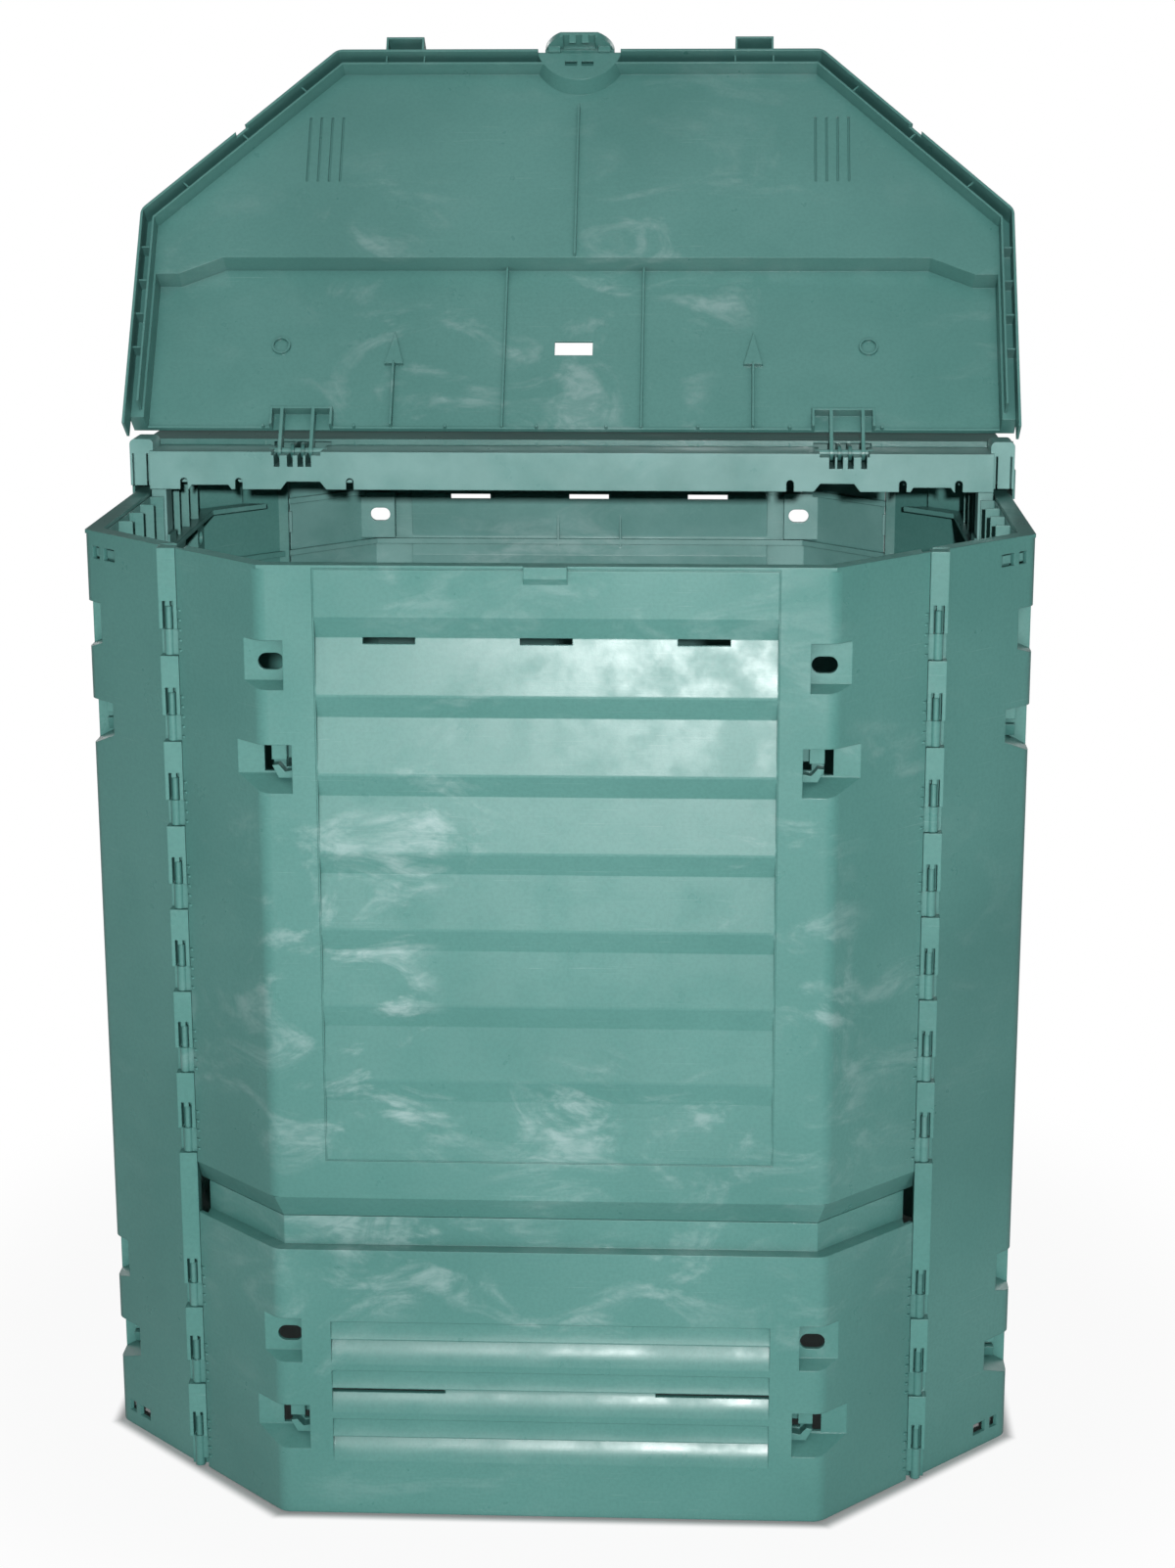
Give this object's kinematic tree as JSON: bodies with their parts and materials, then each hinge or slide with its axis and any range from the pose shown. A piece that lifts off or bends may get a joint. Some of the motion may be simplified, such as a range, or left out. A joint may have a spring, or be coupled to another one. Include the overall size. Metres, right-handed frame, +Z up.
{
  "type": "compost bin",
  "caption": "Eight-sided plastic garden compost bin with a lid in two halves hinged to a beam across the middle, boarded walls and a louvred hatch at the foot of front and rear.",
  "frame": {"origin": "on the ground, under the middle of the bin", "axes": "+Z up, -Y to the front, with the open half of the lid on the front side hinge, +X to the right seen from the front; the hinge axis runs along X"},
  "size_m": [1.014, 1.03, 1.5372],
  "materials": {
    "front_upper_panel": "satin",
    "rear_upper_panel": "satin",
    "front_hatch": "satin",
    "rear_hatch": "satin",
    "left_side_panel": "satin",
    "right_side_panel": "satin",
    "left_rim_frame": "satin",
    "right_rim_frame": "satin",
    "centre_beam": "satin",
    "hinge_pins": "satin",
    "front_lid": "satin",
    "rear_lid": "satin",
    "front_lid_latch": "satin",
    "rear_lid_latch": "satin"
  },
  "bodies": {
    "bin": {"front_upper_panel": "front_upper_panel", "rear_upper_panel": "rear_upper_panel", "left_side_panel": "left_side_panel", "right_side_panel": "right_side_panel", "left_rim_frame": "left_rim_frame", "right_rim_frame": "right_rim_frame", "centre_beam": "centre_beam", "hinge_pin_left": "hinge_pins", "hinge_pin_right": "hinge_pins"},
    "front_lid": {"front_lid": "front_lid"},
    "rear_lid": {"rear_lid": "rear_lid"},
    "front_latch": {"front_lid_latch": "front_lid_latch"},
    "rear_latch": {"rear_lid_latch": "rear_lid_latch"},
    "front_hatch": {"front_hatch": "front_hatch"},
    "rear_hatch": {"rear_hatch": "rear_hatch"}
  },
  "joints": [
    {"name": "front_lid_hinge", "type": "hinge", "parent": "bin", "child": "front_lid", "pos_m": [0, 0, 1.071], "axis": [1, 0, 0], "range_deg": [0, 124.7]},
    {"name": "rear_lid_hinge", "type": "hinge", "parent": "bin", "child": "rear_lid", "pos_m": [0, 0, 1.071], "axis": [1, 0, 0], "range_deg": [0, 17]},
    {"name": "front_hatch_hinge", "type": "hinge", "parent": "bin", "child": "front_hatch", "pos_m": [-0.3925, -0.395, 0.15], "axis": [0, 0, -1], "range_deg": [0, 100]},
    {"name": "rear_hatch_hinge", "type": "hinge", "parent": "bin", "child": "rear_hatch", "pos_m": [0.3925, 0.395, 0.15], "axis": [0, 0, -1], "range_deg": [0, 100]},
    {"name": "front_latch_slide", "type": "slide", "parent": "front_lid", "child": "front_latch", "axis": [0, -0.5693, -0.8221], "range_m": [0, 0.006]},
    {"name": "rear_latch_slide", "type": "slide", "parent": "rear_lid", "child": "rear_latch", "axis": [0, -1, 0], "range_m": [0, 0.006]}
  ]
}
